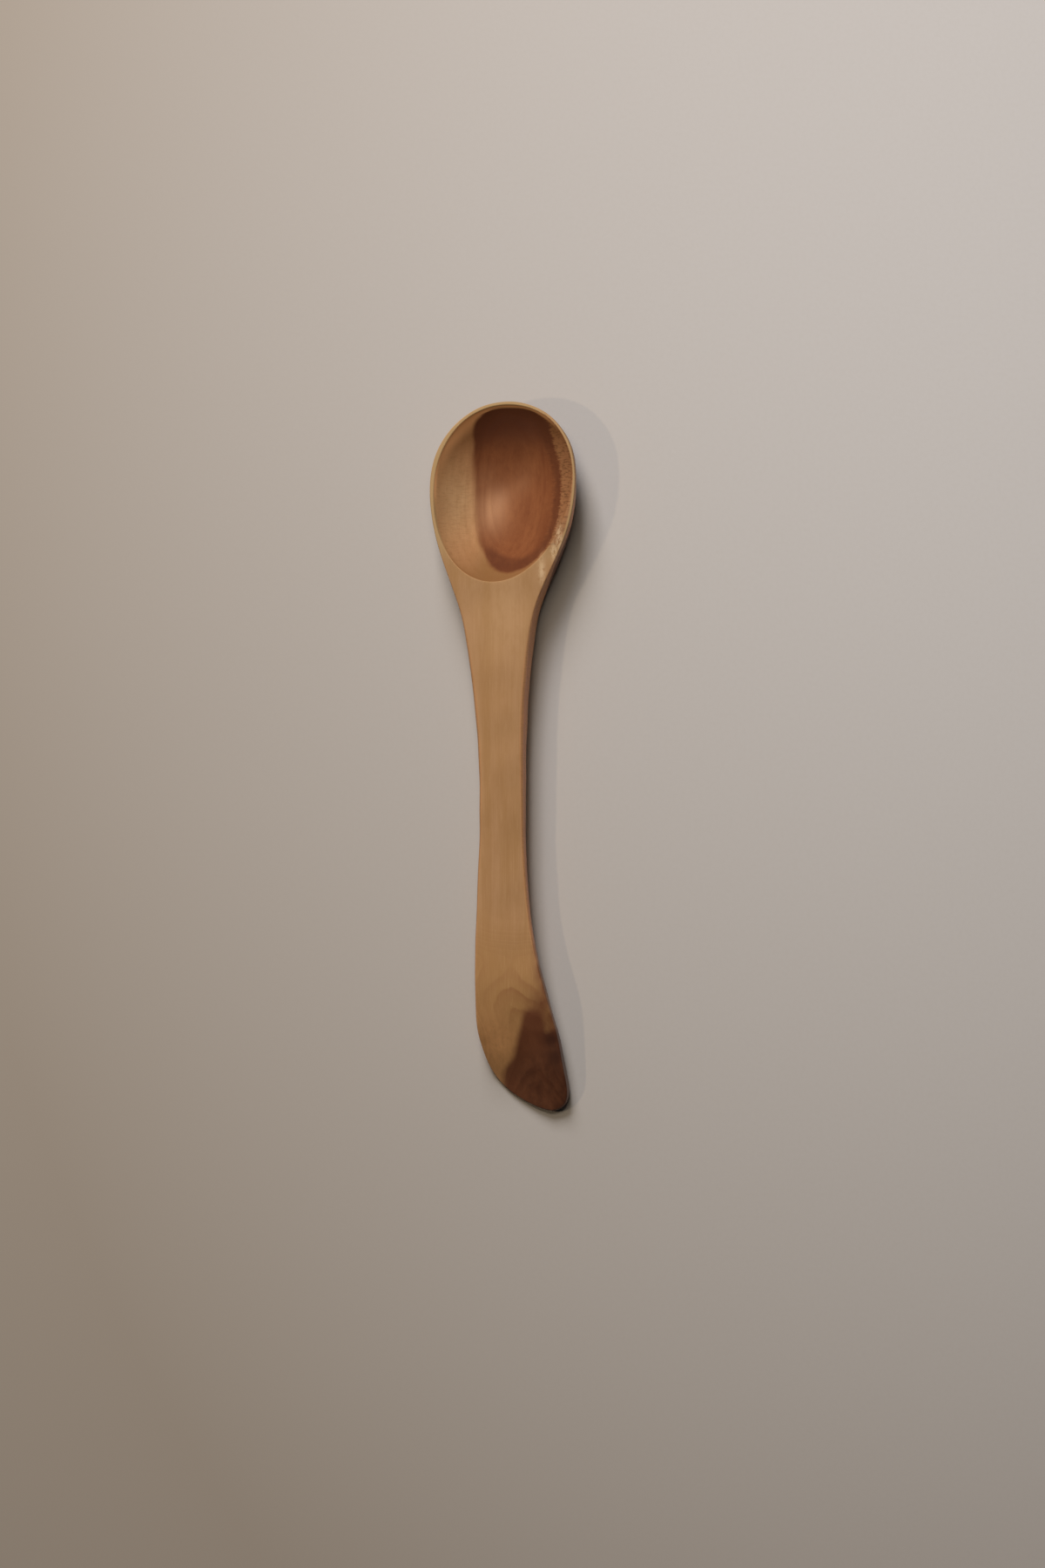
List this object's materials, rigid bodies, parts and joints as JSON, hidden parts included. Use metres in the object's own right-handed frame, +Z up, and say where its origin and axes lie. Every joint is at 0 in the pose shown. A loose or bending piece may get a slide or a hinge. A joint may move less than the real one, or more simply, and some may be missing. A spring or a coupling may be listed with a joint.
{
  "type": "wooden spoon",
  "caption": "Small eating spoon carved from one blank of wood: an oval bowl, a flat-topped handle narrowest in the middle, and a broad end that swings to one side and bends down to the table.",
  "frame": {"origin": "on the table, under the middle of the spoon's overall size", "axes": "+Y from the handle's end to the bowl's tip, +Z up out of the hollow, +X to the side that the handle's end swings to"},
  "size_m": [0.0376, 0.1792, 0.0138],
  "materials": {
    "wood": "hand carved, sanded smooth and oiled to a soft satin: pale sapwood with dark red-brown heartwood in the bowl and at the end of the handle"
  },
  "bodies": {
    "root": {"spoon": "wood"}
  },
  "joints": []
}
